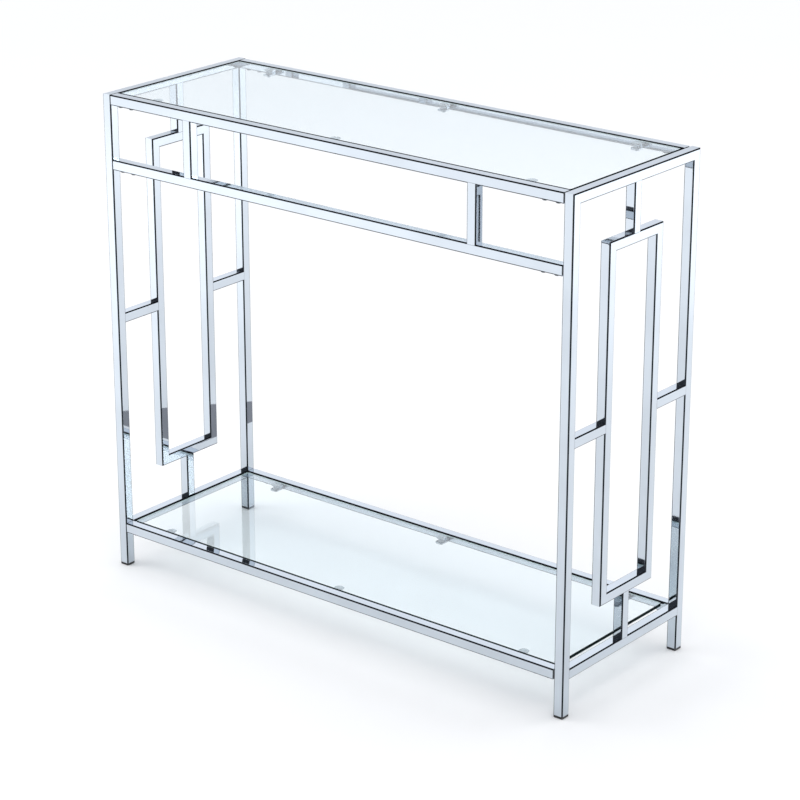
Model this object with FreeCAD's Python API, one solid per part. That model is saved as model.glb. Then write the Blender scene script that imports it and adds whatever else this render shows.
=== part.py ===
import FreeCAD, Part
import math
import os

from FreeCAD import Vector

# Console table: two welded side frames of square chrome tube, five long rails that slide over
# spigots on the side frames and are held by screws from below, and two panes of clear glass that
# lie flush between the rails on suction cups.
# Millimetres. X runs along the width, Y from front to back and Z up. The origin is on the floor,
# in the middle of the table. Each piece is one file in parts/, and identical small pieces share one.

# ---------------------------------------------------------------- driving dimensions
WIDTH = 860.0
DEPTH = 300.0
HEIGHT = 762.0

TUBE = 16.0                     # outside of the square tube
TUBE_RADIUS = 2.0               # outside corner radius
BORE_RADIUS = 0.3               # inside corner radius
WALL = 1.2
COPE = 1.4                      # how far the end of a welded tube wraps round its neighbour's corners

SHELF_RAIL_TOP = 73.0
APRON_RAIL_TOP = 662.5
APRON_UPRIGHT_X = 261.5         # centre line of each short upright under the top rail

KEY_DEPTH = 128.0               # rectangle in the middle of each side frame, front to back
KEY_HEIGHT = 534.0

FOOT_HEIGHT = 4.0               # visible part of the plastic foot
FOOT_CHAMFER = 0.8
FOOT_PLUG_LENGTH = 14.0
FOOT_PLUG_WALL = 2.0

LEFT_SEAM = 0.5                 # between a long rail and the left leg
RIGHT_SEAM = 1.2                # between a top or apron rail and the right leg
SHELF_RIGHT_SEAM = 2.0          # the shelf rails are cut shorter
SPIGOT_LENGTH = 48.0
SPIGOT_RADIUS = 0.3             # outside corner radius
SPIGOT_WALL = 2.4
SLIP = 0.1                      # play on each side of a part that slides into a tube
SCREW_INSETS = (14.0, 36.0)     # screw places, from the inner face of the leg
SCREW_HEAD_DIAMETER = 9.5
SCREW_HEAD_HEIGHT = 2.75
SCREW_HEAD_RIM = 0.4            # height of the straight rim under the crown
SCREW_CROWN_DIAMETER = 4.3      # flat end of the crown
SCREW_DIAMETER = 4.9
SCREW_LENGTH = 9.0
SCREW_HOLE = 5.3                # in the rail
SCREW_TAPPING = 5.0             # in the spigot
HEX_SOCKET = 3.0                # across the flats
HEX_DEPTH = 1.6

GLASS_THICKNESS = 5.0
GLASS_GAP = 2.8                 # between a pane and the rails, in front, behind and on the left
RIGHT_GAPS = {"top": 3.5, "shelf": 9.0}     # the panes are cut a little short of the frame
GLASS_DROP = 0.5                # of the pane's top below the top of the rails
GLASS_CORNER = 3.0
GLASS_ARRIS = 0.4

CUP_X = 342.0                   # the cups are at -CUP_X, 0 and CUP_X, in front and behind
CUP_INSET = 11.0                # centre of a cup, from the inner face of the rail
CUP_LIP = 16.0
CUP_WAIST = 9.0
CUP_BASE = 10.5
CUP_HEIGHT = 7.4
CUP_WAIST_Z = 3.7
CUP_BASE_TOP = 2.2
CUP_DISH = 0.9                  # depth of the hollow in the lip
CUP_DISH_DIAMETER = 8.0         # nearly flat middle of the hollow
CUP_DISH_RISE = 0.2
CUP_RIM = 0.7
CUP_CLEARANCE = 0.05            # under the glass
NECK_DIAMETER = 5.0
NECK_PLAY = 0.2                 # between the tab and the barb
BARB_DIAMETER = 6.6
BARB_TIP = 4.2
BARB_LENGTH = 2.7

TAB_WIDTH = 14.0
TAB_LENGTH = 19.0
TAB_THICKNESS = 2.0
TAB_CORNER = 4.0
TAB_HOLE = 5.4

# ---------------------------------------------------------------- worked out from them
INNER_X = WIDTH / 2 - TUBE      # inner faces of the legs
INNER_Y = DEPTH / 2 - TUBE
LEG_X = WIDTH / 2 - TUBE / 2    # centre lines of the legs
LEG_Y = DEPTH / 2 - TUBE / 2
BORE = TUBE - 2 * WALL
TOP_RAIL_BOTTOM = HEIGHT - TUBE
SHELF_RAIL_BOTTOM = SHELF_RAIL_TOP - TUBE
APRON_RAIL_BOTTOM = APRON_RAIL_TOP - TUBE
KEY_CENTRE = (SHELF_RAIL_TOP + TOP_RAIL_BOTTOM) / 2
KEY_TOP = KEY_CENTRE + KEY_HEIGHT / 2
KEY_BOTTOM = KEY_CENTRE - KEY_HEIGHT / 2
STUB_Z = KEY_CENTRE             # centre line of the short bars between the legs and the rectangle
TAB_DROP = GLASS_DROP + GLASS_THICKNESS + CUP_CLEARANCE + CUP_HEIGHT     # below the rail's top

AXES = {"x": Vector(1, 0, 0), "y": Vector(0, 1, 0), "z": Vector(0, 0, 1)}
SIDES = (("left", -1), ("right", 1))
ENDS = (("front", -1), ("rear", 1))

parts = {}


# ---------------------------------------------------------------- shapes
def rounded_square(side, radius):
    """A square face in the XY plane, centred on the origin."""
    half = side / 2
    inset = half - radius
    slant = radius * math.sqrt(0.5)
    edges = []
    for quarter in range(4):
        turn = FreeCAD.Rotation(Vector(0, 0, 1), 90 * quarter)
        line = [Vector(half, -inset, 0), Vector(half, inset, 0)]
        arc = [Vector(half, inset, 0), Vector(inset + slant, inset + slant, 0), Vector(inset, half, 0)]
        edges.append(Part.makeLine(*[turn.multVec(point) for point in line]))
        edges.append(Part.Arc(*[turn.multVec(point) for point in arc]).toShape())
    return Part.Face(Part.Wire(edges))


def square_bar(side, radius, length):
    """A square bar that stands on the XY plane."""
    return rounded_square(side, radius).extrude(Vector(0, 0, length))


def square_tube(side, radius, wall, length):
    """A square tube that stands on the XY plane."""
    outer = square_bar(side, radius, length)
    return outer.cut(square_bar(side - 2 * wall, BORE_RADIUS, length))


def along(shape, axis, start):
    """Lays a shape that stands on the XY plane along +X, +Y or +Z, with its foot at start."""
    turns = {
        "x": FreeCAD.Rotation(Vector(0, 1, 0), 90),
        "y": FreeCAD.Rotation(Vector(1, 0, 0), -90),
        "z": FreeCAD.Rotation(),
    }
    placed = shape.copy()
    placed.Placement = FreeCAD.Placement(start, turns[axis])
    return placed


def frame_tube(axis, start, end):
    """A length of frame tube from start to end, two points on its centre line."""
    return along(square_tube(TUBE, TUBE_RADIUS, WALL, (end - start).Length), axis, start)


def welded_tube(axis, start, end, neighbour_axis):
    """A frame tube between two neighbours, its ends coped so that their side faces run on flush."""
    direction = AXES[axis]
    tube = frame_tube(axis, start - direction * COPE, end + direction * COPE)
    neighbour = square_bar(TUBE, TUBE_RADIUS, 2 * TUBE)
    for centre in (start - direction * (TUBE / 2), end + direction * (TUBE / 2)):
        foot_point = centre - AXES[neighbour_axis] * TUBE
        tube = tube.cut(along(neighbour, neighbour_axis, foot_point))
    return tube


def mitre(tube, x, outline):
    """Cuts a tube of a side frame to an outline of (y, z) corners."""
    corners = [Vector(x - TUBE, y, z) for y, z in outline]
    block = Part.Face(Part.makePolygon(corners + corners[:1])).extrude(Vector(2 * TUBE, 0, 0))
    return tube.common(block)


def revolved(outline):
    """A solid of revolution about Z from (radius, z) corners."""
    corners = [Vector(radius, 0, z) for radius, z in outline]
    face = Part.Face(Part.makePolygon(corners + corners[:1]))
    return face.revolve(Vector(0, 0, 0), Vector(0, 0, 1), 360)


def moved(shape, x, y, z):
    placed = shape.copy()
    placed.translate(Vector(x, y, z))
    return placed


# ---------------------------------------------------------------- side frames
def leg(x, y_sign):
    """A leg, mitred at the top to meet the side rail."""
    outer = y_sign * DEPTH / 2
    inner = y_sign * INNER_Y
    y = y_sign * LEG_Y
    tube = frame_tube("z", Vector(x, y, FOOT_HEIGHT), Vector(x, y, HEIGHT))
    return mitre(tube, x, [(outer, 0), (inner, 0), (inner, TOP_RAIL_BOTTOM), (outer, HEIGHT)])


def top_side_rail(x):
    z = HEIGHT - TUBE / 2
    tube = frame_tube("y", Vector(x, -DEPTH / 2, z), Vector(x, DEPTH / 2, z))
    outline = [
        (-DEPTH / 2, HEIGHT),
        (DEPTH / 2, HEIGHT),
        (INNER_Y, TOP_RAIL_BOTTOM),
        (-INNER_Y, TOP_RAIL_BOTTOM),
    ]
    return mitre(tube, x, outline)


def key_upright(x, y_sign):
    """A long side of the rectangle, mitred at both ends."""
    outer = y_sign * KEY_DEPTH / 2
    inner = outer - y_sign * TUBE
    y = outer - y_sign * TUBE / 2
    tube = frame_tube("z", Vector(x, y, KEY_BOTTOM), Vector(x, y, KEY_TOP))
    outline = [(outer, KEY_BOTTOM), (inner, KEY_BOTTOM + TUBE), (inner, KEY_TOP - TUBE), (outer, KEY_TOP)]
    return mitre(tube, x, outline)


def key_bar(x, z_outer, z_sign):
    """A short side of the rectangle, mitred at both ends."""
    half = KEY_DEPTH / 2
    z_inner = z_outer - z_sign * TUBE
    z = z_outer - z_sign * TUBE / 2
    tube = frame_tube("y", Vector(x, -half, z), Vector(x, half, z))
    outline = [(-half, z_outer), (half, z_outer), (half - TUBE, z_inner), (TUBE - half, z_inner)]
    return mitre(tube, x, outline)


for side, x_sign in SIDES:
    x = x_sign * LEG_X
    shelf_z = SHELF_RAIL_TOP - TUBE / 2
    parts[side + "_top_rail"] = top_side_rail(x)
    parts[side + "_shelf_rail"] = welded_tube(
        "y", Vector(x, -INNER_Y, shelf_z), Vector(x, INNER_Y, shelf_z), "z"
    )
    parts[side + "_key_top_bar"] = key_bar(x, KEY_TOP, 1)
    parts[side + "_key_bottom_bar"] = key_bar(x, KEY_BOTTOM, -1)
    parts[side + "_upper_stem"] = welded_tube("z", Vector(x, 0, KEY_TOP), Vector(x, 0, TOP_RAIL_BOTTOM), "y")
    parts[side + "_lower_stem"] = welded_tube("z", Vector(x, 0, SHELF_RAIL_TOP), Vector(x, 0, KEY_BOTTOM), "y")
    for end, y_sign in ENDS:
        stub_ends = sorted((y_sign * KEY_DEPTH / 2, y_sign * INNER_Y))
        parts[f"{side}_{end}_leg"] = leg(x, y_sign)
        parts[f"{side}_key_{end}_upright"] = key_upright(x, y_sign)
        parts[f"{side}_{end}_stub"] = welded_tube(
            "y", Vector(x, stub_ends[0], STUB_Z), Vector(x, stub_ends[1], STUB_Z), "z"
        )


# ---------------------------------------------------------------- feet
def foot():
    """A plastic foot: a flat pad as wide as the tube, and a hollow plug that fills its end."""
    pad = square_bar(TUBE, TUBE_RADIUS, FOOT_HEIGHT)
    sole = [edge for edge in pad.Edges if edge.BoundBox.ZMax < FOOT_CHAMFER / 2]
    pad = pad.makeChamfer(FOOT_CHAMFER, sole)
    plug = square_tube(BORE - 2 * SLIP, SPIGOT_RADIUS, FOOT_PLUG_WALL, FOOT_PLUG_LENGTH)
    return pad.fuse(moved(plug, 0, 0, FOOT_HEIGHT)).removeSplitter()


for side, x_sign in SIDES:
    for end, y_sign in ENDS:
        parts[f"{side}_{end}_foot"] = moved(foot(), x_sign * LEG_X, y_sign * LEG_Y, 0)


# ---------------------------------------------------------------- long rails, spigots and screws
def screw_places():
    """The X of every screw of a long rail."""
    return [x_sign * (INNER_X - inset) for _, x_sign in SIDES for inset in SCREW_INSETS]


def long_rail(y, z_top, right_seam):
    """A rail between the side frames, open at both ends, with screw holes in its lower wall."""
    z = z_top - TUBE / 2
    rail = frame_tube("x", Vector(LEFT_SEAM - INNER_X, y, z), Vector(INNER_X - right_seam, y, z))
    for x in screw_places():
        rail = rail.cut(Part.makeCylinder(SCREW_HOLE / 2, TUBE / 2, Vector(x, y, z_top - TUBE)))
    return rail


def spigot(x_sign, y, z_top):
    """A short tube on the inner face of the leg, tapped from below for the screws."""
    left_end = INNER_X - SPIGOT_LENGTH if x_sign > 0 else -INNER_X
    start = Vector(left_end, y, z_top - TUBE / 2)
    bar = along(square_tube(BORE - 2 * SLIP, SPIGOT_RADIUS, SPIGOT_WALL, SPIGOT_LENGTH), "x", start)
    for inset in SCREW_INSETS:
        place = Vector(x_sign * (INNER_X - inset), y, z_top - TUBE)
        bar = bar.cut(Part.makeCylinder(SCREW_TAPPING / 2, TUBE / 2, place))
    return bar


def screw():
    """A button-head screw, head down, with the underside of its head at z = 0."""
    radius = SCREW_HEAD_DIAMETER / 2
    height = SCREW_HEAD_HEIGHT
    bulge = SCREW_HEAD_RIM
    rim = Vector(radius, 0, -SCREW_HEAD_RIM)
    crown = Vector(SCREW_CROWN_DIAMETER / 2, 0, -height)
    shoulder = (rim + crown) / 2 + Vector(bulge, 0, -bulge)
    outline = Part.Wire([
        Part.makeLine(Vector(0, 0, 0), Vector(radius, 0, 0)),
        Part.makeLine(Vector(radius, 0, 0), rim),
        Part.Arc(rim, shoulder, crown).toShape(),
        Part.makeLine(crown, Vector(0, 0, -height)),
        Part.makeLine(Vector(0, 0, -height), Vector(0, 0, 0)),
    ])
    head = Part.Face(outline).revolve(Vector(0, 0, 0), Vector(0, 0, 1), 360)
    corner = HEX_SOCKET / math.sqrt(3)
    angles = [math.radians(60 * step) for step in range(7)]
    hexagon = Part.makePolygon([Vector(corner * math.cos(a), corner * math.sin(a), -height) for a in angles])
    head = head.cut(Part.Face(hexagon).extrude(Vector(0, 0, HEX_DEPTH)))
    return head.fuse(Part.makeCylinder(SCREW_DIAMETER / 2, SCREW_LENGTH)).removeSplitter()


LONG_RAILS = {
    "front_top_rail": (-LEG_Y, HEIGHT, RIGHT_SEAM),
    "rear_top_rail": (LEG_Y, HEIGHT, RIGHT_SEAM),
    "apron_rail": (-LEG_Y, APRON_RAIL_TOP, RIGHT_SEAM),
    "shelf_front_rail": (-LEG_Y, SHELF_RAIL_TOP, SHELF_RIGHT_SEAM),
    "shelf_rear_rail": (LEG_Y, SHELF_RAIL_TOP, SHELF_RIGHT_SEAM),
}
rail_screws = []
for name, (y, z_top, right_seam) in LONG_RAILS.items():
    parts[name] = long_rail(y, z_top, right_seam)
    rail_screws += [moved(screw(), x, y, z_top - TUBE) for x in screw_places()]
for side, x_sign in SIDES:
    spigots = [spigot(x_sign, y, z_top) for y, z_top, _ in LONG_RAILS.values()]
    parts[side + "_rail_spigots"] = Part.makeCompound(spigots)
parts["rail_screws"] = Part.makeCompound(rail_screws)

for side, x_sign in SIDES:
    x = x_sign * APRON_UPRIGHT_X
    foot_point = Vector(x, -LEG_Y, APRON_RAIL_TOP)
    parts[f"apron_{side}_upright"] = welded_tube("z", foot_point, Vector(x, -LEG_Y, TOP_RAIL_BOTTOM), "x")


# ---------------------------------------------------------------- glass panes and what they lie on
def pane(rail_top, right_gap):
    """A pane that lies between the rails, with rounded corners and ground edges."""
    left = -(INNER_X - GLASS_GAP)
    front = -(INNER_Y - GLASS_GAP)
    z = rail_top - GLASS_DROP - GLASS_THICKNESS
    length = INNER_X - right_gap - left
    sheet = Part.makeBox(length, -2 * front, GLASS_THICKNESS, Vector(left, front, z))
    upright = [edge for edge in sheet.Edges if edge.BoundBox.ZLength > GLASS_THICKNESS / 2]
    sheet = sheet.makeFillet(GLASS_CORNER, upright)
    flat = [edge for edge in sheet.Edges if edge.BoundBox.ZLength < GLASS_THICKNESS / 2]
    return sheet.makeChamfer(GLASS_ARRIS, flat)


def tab():
    """A steel tab whose upper face is at z = 0, under a cup at the origin. It points along +Y."""
    back = -CUP_INSET
    front = back + TAB_LENGTH
    plate = Part.makeBox(TAB_WIDTH, TAB_LENGTH, TAB_THICKNESS, Vector(-TAB_WIDTH / 2, back, -TAB_THICKNESS))
    tip = front - TAB_CORNER
    corners = [e for e in plate.Edges if e.BoundBox.YMin > tip and e.BoundBox.ZLength > TAB_THICKNESS / 2]
    plate = plate.makeFillet(TAB_CORNER, corners)
    return plate.cut(Part.makeCylinder(TAB_HOLE / 2, TAB_THICKNESS, Vector(0, 0, -TAB_THICKNESS)))


def suction_cup():
    """A soft cup that stands on a tab at z = 0, with a neck and barb that hold it in the tab's hole."""
    lip = CUP_LIP / 2
    waist = CUP_WAIST / 2
    base = CUP_BASE / 2
    neck = NECK_DIAMETER / 2
    barb_top = -TAB_THICKNESS - NECK_PLAY
    return revolved([
        (0, CUP_HEIGHT - CUP_DISH),
        (CUP_DISH_DIAMETER / 2, CUP_HEIGHT - CUP_DISH + CUP_DISH_RISE),
        (lip - CUP_RIM, CUP_HEIGHT),
        (lip, CUP_HEIGHT - CUP_RIM / 2),
        (lip - CUP_RIM / 2, CUP_HEIGHT - CUP_RIM),
        (waist, CUP_WAIST_Z),
        (base, CUP_BASE_TOP),
        (base, 0),
        (neck, 0),
        (neck, barb_top),
        (BARB_DIAMETER / 2, barb_top),
        (BARB_TIP / 2, barb_top - BARB_LENGTH),
        (0, barb_top - BARB_LENGTH),
    ])


for level, rail_top in (("top", HEIGHT), ("shelf", SHELF_RAIL_TOP)):
    tabs = []
    cups = []
    for _, y_sign in ENDS:
        y = y_sign * (INNER_Y - CUP_INSET)
        turn = 0 if y_sign < 0 else 180
        for x in (-CUP_X, 0, CUP_X):
            seat = tab()
            seat.rotate(Vector(0, 0, 0), Vector(0, 0, 1), turn)
            tabs.append(moved(seat, x, y, rail_top - TAB_DROP))
            cups.append(moved(suction_cup(), x, y, rail_top - TAB_DROP))
    parts[level + "_glass"] = pane(rail_top, RIGHT_GAPS[level])
    parts[level + "_glass_tabs"] = Part.makeCompound(tabs)
    parts[level + "_glass_cups"] = Part.makeCompound(cups)


# ---------------------------------------------------------------- one STEP file for each piece
os.makedirs("parts", exist_ok=True)
for name, shape in parts.items():
    if not shape.isValid():
        raise ValueError(name + " is not a valid shape")
    shape.exportStep("parts/" + name + ".step")
print(len(parts), "pieces")
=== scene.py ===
import math

import bmesh
import bpy
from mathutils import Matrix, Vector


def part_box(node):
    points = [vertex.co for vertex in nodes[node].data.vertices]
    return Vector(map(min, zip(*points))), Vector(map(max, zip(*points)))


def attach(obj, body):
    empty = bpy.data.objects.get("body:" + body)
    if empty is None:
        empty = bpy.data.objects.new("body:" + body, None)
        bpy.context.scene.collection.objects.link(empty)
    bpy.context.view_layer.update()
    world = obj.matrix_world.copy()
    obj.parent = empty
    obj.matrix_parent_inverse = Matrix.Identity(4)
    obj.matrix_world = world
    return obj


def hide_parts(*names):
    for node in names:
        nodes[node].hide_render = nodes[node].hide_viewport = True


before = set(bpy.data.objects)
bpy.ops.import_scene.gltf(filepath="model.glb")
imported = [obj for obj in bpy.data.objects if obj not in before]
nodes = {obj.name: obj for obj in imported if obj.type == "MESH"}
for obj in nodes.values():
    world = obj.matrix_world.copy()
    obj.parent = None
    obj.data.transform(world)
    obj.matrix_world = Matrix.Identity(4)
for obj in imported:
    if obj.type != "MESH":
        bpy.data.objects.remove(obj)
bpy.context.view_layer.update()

# Looks of the console table: chromed square tube with a painted dark reflection on its corners, clear
# panes whose ground edges carry painted shade and painted light, soft clear suction cups and black
# plastic feet, in a bright white studio. Metres, in the frame's own axes.

scene = bpy.context.scene
MM = 0.001

# ---------------------------------------------------------------- driving values
PANE_CORNER = 3 * MM
PANE_ARRIS = 0.5 * MM
ARRIS_STEPS = 3
FLAT_FACE = 0.999                   # a face that looks this much up or down is flat

# The suction cups, as radius and height in millimetres. Heights count from the top of the lip in
# CUP_HOLLOW and CUP_UPPER, from the top of the tab in CUP_BASE and CUP_STEM, and else from the tip.
CUP_LIP = 8.0                       # radius
CUP_OVER_TAB = 7.4                  # height of the lip over the tab
CUP_HOLLOW = ((0, -0.9), (4.0, -0.75), (6.6, -0.2), (7.5, 0))
CUP_UPPER = ((CUP_LIP, -0.3), (7.6, -0.85), (6.0, -1.9), (4.4, -3.6))
CUP_BASE = ((4.6, 2.3), (5.25, 1.5), (5.25, 0.4), (4.85, 0))
CUP_STEM = ((2.5, 0), (2.5, -2.2), (3.3, -2.3), (3.3, -2.7))
CUP_TIP = ((2.1, 0.3), (1.6, 0), (0, 0))
CUP_SEGMENTS = 48
ON_AXIS = 1e-7                      # a smaller radius is a point on the axis

CHROME_TINT = (0.62, 0.675, 0.735)
# painted dark reflection on the rounded corners of the chrome
CHROME_EDGE_PAINTED_REFLECTION = (0.020, 0.023, 0.028)
GLASS_TINT = (0.90, 0.962, 0.985)
# ground edge of the panes, painted near black as the shade of the gap round them
GLASS_EDGE_PAINTED_SHADE = (0.003, 0.008, 0.008)
# the same edge seen from inside the pane, painted pale as light let through the glass
GLASS_INNER_EDGE_PAINTED_LIGHT = (0.62, 0.74, 0.74)

CAMERA_PLACE = (2.402, -2.945, 1.748)
CAMERA_AZIMUTH = math.radians(39.0)
CAMERA_TILT = math.radians(20.42)   # how far the view looks down
CAMERA_LENS = 122.7                 # mm
CAMERA_SENSOR = 36                  # mm
CAMERA_REACH = 100

FLOOR_SIZE = 40.0
SUN_STRENGTH = 0.84
SUN_ANGLE = math.radians(70)        # a wide ceiling of light
SOFTBOX_SIZE = 1.4
SOFTBOXES = (                       # name, place, power in watts; each one looks straight down
    ("rear_right", (2.1, 2.2, 1.4), 21),
    ("front_left", (-2.2, -1.3, 1.5), 22),
)
STUDIO_BANDS = (                    # sine of the height above the horizon, and the light from there
    (0.00, (0.92, 0.93, 0.95)),
    (0.10, (0.84, 0.87, 0.92)),
    (0.24, (0.84, 0.87, 0.92)),
    (0.32, (1.08, 1.11, 1.18)),
    (0.50, (1.12, 1.15, 1.20)),
    (0.60, (0.45, 0.45, 0.47)),
    (0.84, (0.45, 0.45, 0.47)),
    (0.90, (1.20, 1.20, 1.20)),
    (1.00, (1.20, 1.20, 1.20)),
)

FRONT_CARD_RADIUS = 6.0
FRONT_CARD_START, FRONT_CARD_END = -82, -2      # degrees from the table's front towards its right
FRONT_CARD_FADE = 20                            # degrees over which each end thins out
FRONT_CARD_LOW = (1.38, 2.98)                   # lower edge, at its start and at its end
FRONT_CARD_TOP = 7.0
FRONT_CARD_STEPS = 16
REAR_CARD_HEIGHT = 74 * MM                      # just over the shelf's rear rail
REAR_CARD_CORNERS = ((-0.27, 0.154), (-0.020, 0.154), (-0.27, 0.466))
CARD_NOISE = 4.0

WELD_REACH = 30 * MM                # how far from a weld the polished faces are dished
WELD_DEPTH = 0.20 * MM
RIPPLE_HEIGHT = 0.007 * MM
LINE_HEIGHT = 0.0004 * MM
LINE_STRETCH = (1, 1, 0.06)         # polishing lines run up and down
CORNER_START, CORNER_FULL = 0.9985, 0.98        # largest part of the normal, off a flat and on a corner
CORNER_ROUGHNESS = 0.04             # how much rougher the corners are


# ---------------------------------------------------------------- node helpers
class Nodes:
    """A material with a Principled shader, and short calls to add nodes to it."""

    def __init__(self, name, **sockets):
        self.material = bpy.data.materials.new(name)
        self.material.use_nodes = True
        self.tree = self.material.node_tree
        self.shader = self.tree.nodes["Principled BSDF"]
        for socket, value in sockets.items():
            self.shader.inputs[socket.replace("_", " ")].default_value = value
        self.place = self.add("ShaderNodeTexCoord").outputs["Object"]

    def add(self, kind, **settings):
        node = self.tree.nodes.new(kind)
        for key, value in settings.items():
            setattr(node, key, value)
        return node

    def link(self, source, target):
        self.tree.links.new(source, target)

    def feed(self, socket, source):
        self.link(source, self.shader.inputs[socket])

    def stretched(self, scale):
        node = self.add("ShaderNodeMapping")
        node.inputs["Scale"].default_value = scale
        self.link(self.place, node.inputs["Vector"])
        return node.outputs["Vector"]

    def noise(self, scale, detail=3.0, roughness=0.5, stretch=(1, 1, 1)):
        node = self.add("ShaderNodeTexNoise")
        node.inputs["Scale"].default_value = scale
        node.inputs["Detail"].default_value = detail
        node.inputs["Roughness"].default_value = roughness
        self.link(self.stretched(stretch), node.inputs["Vector"])
        return node.outputs["Fac"]

    def ramp(self, source, low, high, start, end, kind="LINEAR"):
        """Maps source from low..high to start..end, held at both ends."""
        node = self.add("ShaderNodeMapRange", interpolation_type=kind)
        limits = {"From Min": low, "From Max": high, "To Min": start, "To Max": end}
        for socket, value in limits.items():
            node.inputs[socket].default_value = value
        self.link(source, node.inputs["Value"])
        return node.outputs["Result"]

    def mix(self, factor, first, second):
        """A colour between first and second, which are colours or sockets."""
        node = self.add("ShaderNodeMix", data_type="RGBA")
        self.link(factor, node.inputs["Factor"])
        for value, socket in ((first, node.inputs[6]), (second, node.inputs[7])):
            if isinstance(value, tuple):
                socket.default_value = (*value, 1)
            else:
                self.link(value, socket)
        return node.outputs[2]

    def maths(self, operation, first, second=None):
        node = self.add("ShaderNodeMath", operation=operation)
        for value, socket in ((first, node.inputs[0]), (second, node.inputs[1])):
            if isinstance(value, (int, float)):
                socket.default_value = value
            elif value is not None:
                self.link(value, socket)
        return node.outputs[0]

    def bump(self, height, distance, strength=1.0):
        node = self.add("ShaderNodeBump")
        node.inputs["Distance"].default_value = distance
        node.inputs["Strength"].default_value = strength
        self.link(height, node.inputs["Height"])
        self.feed("Normal", node.outputs["Normal"])

    def corner_mask(self):
        """1 on the rounded corners of a squared-up part and 0 on its flats, by the way they face."""
        facing = self.add("ShaderNodeTexCoord").outputs["Normal"]
        parts = self.add("ShaderNodeSeparateXYZ")
        self.link(facing, parts.inputs[0])
        sizes = [self.maths("ABSOLUTE", parts.outputs[axis]) for axis in "XYZ"]
        largest = self.maths("MAXIMUM", self.maths("MAXIMUM", sizes[0], sizes[1]), sizes[2])
        return self.ramp(largest, CORNER_START, CORNER_FULL, 0.0, 1.0)


# ---------------------------------------------------------------- materials
def weld_places():
    """The (y, z) of each weld in the front half of a side frame: the ends of its bars."""
    places = []
    for name in ("upper_stem", "lower_stem"):
        low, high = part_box("right_" + name)
        places += [(0.0, low.z), (0.0, high.z)]
    for name in ("front_stub", "shelf_rail"):
        low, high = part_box("right_" + name)
        height = (low.z + high.z) / 2
        places += [(low.y, height), (high.y, height)]
    return sorted({(abs(y), z) for y, z in places})


def weld_dips(look):
    """1 at the middle of each weld of the side frames, falling to 0 around it."""
    parts = look.add("ShaderNodeSeparateXYZ")
    look.link(look.place, parts.inputs[0])
    depth = look.maths("ABSOLUTE", parts.outputs["Y"])
    total = 0.0
    for y, z in weld_places():
        along = look.maths("POWER", look.maths("SUBTRACT", depth, y), 2.0)
        up = look.maths("POWER", look.maths("SUBTRACT", parts.outputs["Z"], z), 2.0)
        distance = look.maths("SQRT", look.maths("ADD", along, up))
        dip = look.ramp(distance, 0.0, WELD_REACH, 1.0, 0.0, "SMOOTHSTEP")
        total = look.maths("ADD", dip, total)
    return total


def chrome(name, tint, edge_painted_reflection, roughness):
    """Bright chrome plate on polished tube, with faint haze and polishing lines. The corners are painted
    dark, as a painted reflection. The polish is dished round each weld."""
    look = Nodes(name, Metallic=1.0)
    haze = look.noise(9.0, detail=4.0)
    smudges = look.noise(38.0, detail=2.0)
    worn = tuple(0.94 * channel for channel in tint)
    plate = look.mix(look.ramp(haze, 0.42, 0.62, 0.0, 1.0), tint, worn)
    # The corners take the edge colour: a painted dark reflection.
    look.feed("Base Color", look.mix(look.corner_mask(), plate, edge_painted_reflection))
    base = look.ramp(smudges, 0.45, 0.75, roughness, roughness * 1.8)
    corner = look.maths("MULTIPLY", look.corner_mask(), CORNER_ROUGHNESS)
    look.feed("Roughness", look.maths("ADD", base, corner))
    ripple = look.maths("MULTIPLY", look.noise(55.0, detail=1.0), RIPPLE_HEIGHT)
    lines = look.maths("MULTIPLY", look.noise(900.0, detail=2.0, stretch=LINE_STRETCH), LINE_HEIGHT)
    dips = look.maths("MULTIPLY", weld_dips(look), -WELD_DEPTH)
    look.bump(look.maths("ADD", dips, look.maths("ADD", ripple, lines)), 1.0)
    return look.material


def zinc_steel(name, tint, roughness):
    """Plain plated steel with a slightly mottled, satin surface."""
    look = Nodes(name, Metallic=1.0)
    mottle = look.noise(420.0, detail=5.0)
    dark = tuple(0.72 * channel for channel in tint)
    look.feed("Base Color", look.mix(look.ramp(mottle, 0.4, 0.65, 0.0, 1.0), tint, dark))
    look.feed("Roughness", look.ramp(mottle, 0.3, 0.7, roughness, roughness * 1.5))
    look.bump(look.noise(1500.0), 0.03 * MM, 0.4)
    return look.material


def pane_face():
    """Clear tempered glass, with the very slight waviness of the tempering oven."""
    look = Nodes("pane_face", Roughness=0.0, IOR=1.5, Transmission_Weight=1.0)
    streaks = look.noise(3.5, detail=1.0, stretch=(0.5, 2.0, 1.0))
    paler = tuple(min(1.0, 1.012 * channel) for channel in GLASS_TINT)
    look.feed("Base Color", look.mix(look.ramp(streaks, 0.35, 0.65, 0.0, 1.0), GLASS_TINT, paler))
    look.bump(look.noise(6.0, detail=1.0, stretch=(0.6, 1.6, 1.0)), 0.05 * MM, 0.3)
    return look.material


def pane_edge():
    """A pane's ground edge: deep green with painted shade to near black, and painted light seen from
    inside.
    """
    look = Nodes("pane_edge", IOR=1.25, Specular_IOR_Level=0.2)
    marks = look.noise(700.0, detail=3.0, stretch=(0.08, 0.08, 1.0))
    light = tuple(2.6 * channel for channel in GLASS_EDGE_PAINTED_SHADE)
    outside = look.mix(look.ramp(marks, 0.35, 0.7, 0.0, 1.0), GLASS_EDGE_PAINTED_SHADE, light)
    within = look.add("ShaderNodeNewGeometry").outputs["Backfacing"]
    # Seen from inside the pane the edge takes painted light; from outside, painted shade.
    look.feed("Base Color", look.mix(within, outside, GLASS_INNER_EDGE_PAINTED_LIGHT))
    look.feed("Roughness", look.ramp(marks, 0.3, 0.7, 0.30, 0.50))
    look.bump(marks, 0.02 * MM, 0.5)
    return look.material


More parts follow.
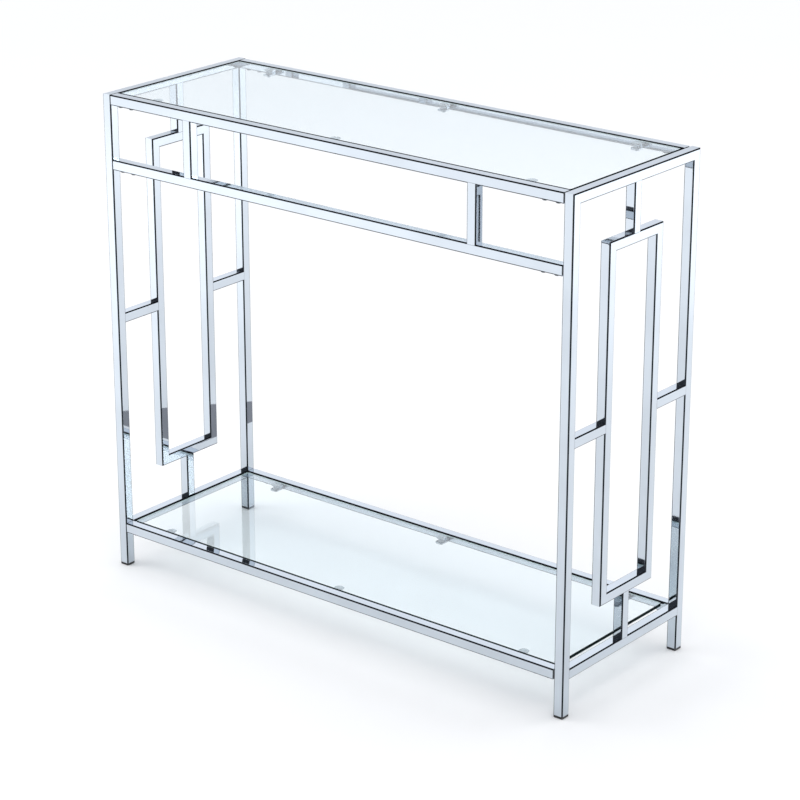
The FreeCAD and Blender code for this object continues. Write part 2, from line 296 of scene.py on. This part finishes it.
def vinyl():
    """Soft clear vinyl, a little cloudy and greyed."""
    look = Nodes("clear_vinyl", IOR=1.45, Transmission_Weight=0.55)
    cloud = look.noise(160.0, detail=4.0)
    clouded = look.ramp(cloud, 0.35, 0.7, 0.0, 1.0)
    look.feed("Base Color", look.mix(clouded, (0.62, 0.67, 0.71), (0.50, 0.55, 0.60)))
    look.feed("Roughness", look.ramp(cloud, 0.3, 0.7, 0.16, 0.30))
    look.bump(look.noise(600.0), 0.03 * MM, 0.4)
    return look.material


def foot_plastic():
    """Black moulded polyethylene with a fine spark-eroded grain, scuffed a little paler at the rim."""
    look = Nodes("black_plastic", IOR=1.5)
    grain = look.noise(2600.0, detail=2.0)
    scuffs = look.noise(260.0, detail=5.0, stretch=(1, 1, 3))
    scuffed = look.ramp(scuffs, 0.55, 0.75, 0.0, 1.0)
    black = look.mix(scuffed, (0.010, 0.010, 0.011), (0.035, 0.035, 0.037))
    look.feed("Base Color", look.mix(look.corner_mask(), black, (0.05, 0.05, 0.052)))
    look.feed("Roughness", look.ramp(scuffs, 0.3, 0.7, 0.38, 0.55))
    look.bump(grain, 0.04 * MM, 0.6)
    return look.material


def floor_paint():
    """A matt white studio floor with the faintest unevenness."""
    look = Nodes("studio_floor", Roughness=0.9, Specular_IOR_Level=0.0)
    look.feed("Base Color", look.mix(look.noise(1.2), (0.90, 0.905, 0.91), (0.92, 0.922, 0.925)))
    return look.material


FINISHES = {
    "tube_chrome": chrome("tube_chrome", CHROME_TINT, CHROME_EDGE_PAINTED_REFLECTION, 0.025),
    # The tabs' corners also get a painted dark reflection.
    "tab_chrome": chrome("tab_chrome", (0.50, 0.54, 0.58), (0.25, 0.28, 0.31), 0.12),
    # Darkened well below plated steel as painted shade of the seams the spigots show in.
    "spigot_steel": zinc_steel("spigot_steel", (0.13, 0.135, 0.14), 0.35),
    # Darkened well below plated steel as painted shade under the rails.
    "screw_steel": zinc_steel("screw_steel", (0.07, 0.075, 0.085), 0.20),
    "foot_plastic": foot_plastic(),
}
PANE_FACE = pane_face()
PANE_EDGE = pane_edge()
VINYL = vinyl()


def paint_cad_nodes():
    """Gives every CAD node that stays in view the finish of its own material slot."""
    for node in nodes.values():
        for slot in node.material_slots:
            slot.material = FINISHES.get(slot.material.name, slot.material)


# ---------------------------------------------------------------- meshes
def mesh_object(name, mesh, materials):
    for material in materials:
        mesh.materials.append(material)
    piece = bpy.data.objects.new(name, mesh)
    scene.collection.objects.link(piece)
    return piece


def from_bmesh(name, shape, materials, smooth=True):
    mesh = bpy.data.meshes.new(name)
    shape.normal_update()
    shape.to_mesh(mesh)
    shape.free()
    for face in mesh.polygons:
        face.use_smooth = smooth
    return mesh_object(name, mesh, materials)


def corner_arc(centre, radius, start, steps):
    """Points of a quarter circle, in the XY plane."""
    turns = [math.radians(start + 90 * step / steps) for step in range(steps + 1)]
    return [(centre[0] + radius * math.cos(t), centre[1] + radius * math.sin(t)) for t in turns]


def rounded_outline(low, high, radius, steps=8):
    """A rounded rectangle, anticlockwise from its right end."""
    x0, y0, x1, y1 = low[0] + radius, low[1] + radius, high[0] - radius, high[1] - radius
    quarters = [((x1, y1), 0), ((x0, y1), 90), ((x0, y0), 180), ((x1, y0), 270)]
    return [point for centre, start in quarters for point in corner_arc(centre, radius, start, steps)]


def pane(level):
    """A pane with rounded corners and arrises. Its rim has the ground-edge finish, with painted shade and
    light.
    """
    low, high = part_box(level + "_glass")
    rings = []
    for z, side in ((low.z, 1), (high.z, -1)):
        ring_set = []
        for step in range(ARRIS_STEPS + 1):
            turn = math.radians(90 * step / ARRIS_STEPS)
            inset = PANE_ARRIS * (1 - math.sin(turn))
            lift = PANE_ARRIS * (1 - math.cos(turn))
            outline = rounded_outline(
                (low.x + inset, low.y + inset), (high.x - inset, high.y - inset), PANE_CORNER - inset
            )
            ring_set.append([(x, y, z + side * lift) for x, y in outline])
        rings += ring_set if side > 0 else ring_set[::-1]
    shape = bmesh.new()
    loops = [[shape.verts.new(point) for point in ring] for ring in rings]
    count = len(loops[0])
    for lower, upper in zip(loops, loops[1:]):
        for i in range(count):
            j = (i + 1) % count
            face = shape.faces.new((lower[i], lower[j], upper[j], upper[i]))
            face.material_index = 1
    shape.faces.new(loops[0][::-1])
    shape.faces.new(loops[-1])
    piece = from_bmesh(level + "_pane", shape, [PANE_FACE, PANE_EDGE])
    for face in piece.data.polygons:
        face.use_smooth = abs(face.normal.z) < FLAT_FACE
    piece.visible_shadow = False
    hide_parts(level + "_glass")
    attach(piece, level + "_pane")


def spline_value(z, a, b, c, t):
    """The Catmull-Rom value between a and b, with z before them and c after them."""
    square = (2 * z - 5 * a + 4 * b - c) * t ** 2
    cube = (3 * a - z - 3 * b + c) * t ** 3
    return 0.5 * (2 * a + (b - z) * t + square + cube)


def smooth_profile(points, steps=6):
    """A Catmull-Rom line through (radius, height) points."""
    line = []
    for i in range(len(points) - 1):
        before = points[max(i - 1, 0)]
        after = points[min(i + 2, len(points) - 1)]
        for step in range(steps):
            point = [
                spline_value(*values, step / steps)
                for values in zip(before, points[i], points[i + 1], after)
            ]
            line.append(tuple(point))
    return line + [points[-1]]


def lathe(shape, profile, centre, segments):
    """Turns a (radius, height) line that starts and ends on the axis about a vertical axis."""
    rings = []
    turns = [2 * math.pi * i / segments for i in range(segments)]
    for radius, height in profile:
        x, y, z = centre[0], centre[1], centre[2] + height
        if radius < ON_AXIS:
            rings.append([shape.verts.new((x, y, z))])
            continue
        ring = [(x + radius * math.cos(t), y + radius * math.sin(t), z) for t in turns]
        rings.append([shape.verts.new(point) for point in ring])
    for upper, lower in zip(rings, rings[1:]):
        for i in range(segments):
            j = (i + 1) % segments
            below = [lower[i % len(lower)], lower[j % len(lower)]]
            above = [upper[j % len(upper)], upper[i % len(upper)]]
            shape.faces.new(list(dict.fromkeys(below + above)))


def raised(points, height):
    """The (radius, height) points in metres, from millimetres and raised by height in metres."""
    return [(radius * MM, height + z * MM) for radius, z in points]


def cup_profile(height):
    """A suction cup from the middle of its hollow, over the lip and down to its barb and tip."""
    tab_top = height - CUP_OVER_TAB * MM
    hollow = smooth_profile(raised(CUP_HOLLOW, height))
    outside = smooth_profile(raised(CUP_UPPER, height) + raised(CUP_BASE, tab_top))
    return hollow + outside + raised(CUP_STEM, tab_top) + raised(CUP_TIP, 0)


def cups(level):
    """The six suction cups under a pane, each centred on its tab's hole."""
    low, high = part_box(level + "_glass_cups")
    radius = CUP_LIP * MM
    rows = (low.y + radius, high.y - radius)
    columns = (low.x + radius, (low.x + high.x) / 2, high.x - radius)
    shape = bmesh.new()
    for x in columns:
        for y in rows:
            lathe(shape, cup_profile(high.z - low.z), (x, y, low.z), CUP_SEGMENTS)
    piece = from_bmesh(level + "_cups", shape, [VINYL])
    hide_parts(level + "_glass_cups")
    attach(piece, "frame")


# ---------------------------------------------------------------- studio
def studio_floor():
    half = FLOOR_SIZE / 2
    shape = bmesh.new()
    corners = [(-half, -half), (half, -half), (half, half), (-half, half)]
    shape.faces.new([shape.verts.new((x, y, 0)) for x, y in corners])
    piece = from_bmesh("floor", shape, [floor_paint()], smooth=False)


def softbox(name, place, power):
    """A square light over the floor, which reflections don't show."""
    light = bpy.data.lights.new(name, "AREA")
    light.shape = "RECTANGLE"
    light.size = light.size_y = SOFTBOX_SIZE
    light.energy = power
    lamp = bpy.data.objects.new(name, light)
    lamp.location = place
    lamp.visible_glossy = False
    scene.collection.objects.link(lamp)


def only_reflected(piece):
    for ray in ("camera", "diffuse", "transmission", "shadow", "volume_scatter"):
        setattr(piece, "visible_" + ray, False)


def fade_ends(look):
    """Thins the front card out over its last degrees, at both ends."""
    parts = look.add("ShaderNodeSeparateXYZ")
    look.link(look.place, parts.inputs[0])
    forward = look.maths("MULTIPLY", parts.outputs["Y"], -1.0)
    turn = look.maths("ARCTAN2", parts.outputs["X"], forward)
    start, end = FRONT_CARD_START, FRONT_CARD_END
    stops = (start, start + FRONT_CARD_FADE, end - FRONT_CARD_FADE, end)
    left, left_full, right_full, right = [math.radians(stop) for stop in stops]
    rise = look.ramp(turn, left, left_full, 0.0, 1.0, "SMOOTHSTEP")
    fall = look.ramp(turn, right_full, right, 1.0, 0.0, "SMOOTHSTEP")
    look.feed("Alpha", look.maths("MULTIPLY", rise, fall))


def front_card():
    """A curved dark card far off at the front left. It darkens what the joints mirror."""
    shape = bmesh.new()
    columns = []
    for step in range(FRONT_CARD_STEPS + 1):
        share = step / FRONT_CARD_STEPS
        turn = math.radians(FRONT_CARD_START + (FRONT_CARD_END - FRONT_CARD_START) * share)
        x, y = FRONT_CARD_RADIUS * math.sin(turn), -FRONT_CARD_RADIUS * math.cos(turn)
        low = FRONT_CARD_LOW[0] + (FRONT_CARD_LOW[1] - FRONT_CARD_LOW[0]) * share
        columns.append([shape.verts.new((x, y, z)) for z in (low, FRONT_CARD_TOP)])
    for near, far in zip(columns, columns[1:]):
        shape.faces.new((near[0], far[0], far[1], near[1]))
    look = Nodes("front_left_card", Roughness=1.0)
    mottle = look.noise(CARD_NOISE)
    look.feed("Base Color", look.mix(mottle, (0.030, 0.030, 0.034), (0.045, 0.045, 0.050)))
    fade_ends(look)
    only_reflected(from_bmesh("front_left_card", shape, [look.material]))


def rear_card():
    """A small grey card behind the table. It darkens what the left frame mirrors near the shelf."""
    shape = bmesh.new()
    shape.faces.new([shape.verts.new((x, y, REAR_CARD_HEIGHT)) for x, y in REAR_CARD_CORNERS])
    look = Nodes("rear_card", Roughness=1.0)
    mottle = look.noise(CARD_NOISE)
    look.feed("Base Color", look.mix(mottle, (0.25, 0.25, 0.27), (0.30, 0.30, 0.32)))
    only_reflected(from_bmesh("rear_card", shape, [look.material]))


def studio_sun():
    light = bpy.data.lights.new("ceiling", "SUN")
    light.energy = SUN_STRENGTH
    light.angle = SUN_ANGLE
    scene.collection.objects.link(bpy.data.objects.new("ceiling", light))


def studio_world():
    """White walls to a little above eye level, a dimmer band over them and a bright ceiling."""
    world = bpy.data.worlds.new("studio")
    world.use_nodes = True
    scene.world = world
    tree = world.node_tree
    background = tree.nodes["Background"]
    direction = tree.nodes.new("ShaderNodeTexCoord")
    parts = tree.nodes.new("ShaderNodeSeparateXYZ")
    tree.links.new(direction.outputs["Generated"], parts.inputs[0])
    ramp = tree.nodes.new("ShaderNodeValToRGB")
    elements = ramp.color_ramp.elements
    ends = {0.0: elements[0], 1.0: elements[1]}
    for position, colour in STUDIO_BANDS:
        element = ends.get(position) or elements.new(position)
        element.color = (*colour, 1)
    tree.links.new(parts.outputs["Z"], ramp.inputs["Fac"])
    tree.links.new(ramp.outputs["Color"], background.inputs["Color"])


def studio_camera():
    """A plain camera to the front and right of the table, looking down on it."""
    camera = bpy.data.objects.new("camera", bpy.data.cameras.new("camera"))
    camera.data.sensor_width = CAMERA_SENSOR
    camera.data.lens = CAMERA_LENS
    camera.data.clip_end = CAMERA_REACH
    camera.location = CAMERA_PLACE
    camera.rotation_euler = (math.radians(90) - CAMERA_TILT, 0, CAMERA_AZIMUTH)
    scene.collection.objects.link(camera)
    scene.camera = camera


def build():
    paint_cad_nodes()
    for level in ("top", "shelf"):
        pane(level)
        cups(level)
    studio_floor()
    studio_world()
    studio_sun()
    front_card()
    rear_card()
    for name, place, power in SOFTBOXES:
        softbox(name, place, power)
    studio_camera()
    scene.view_settings.view_transform = "Standard"


build()
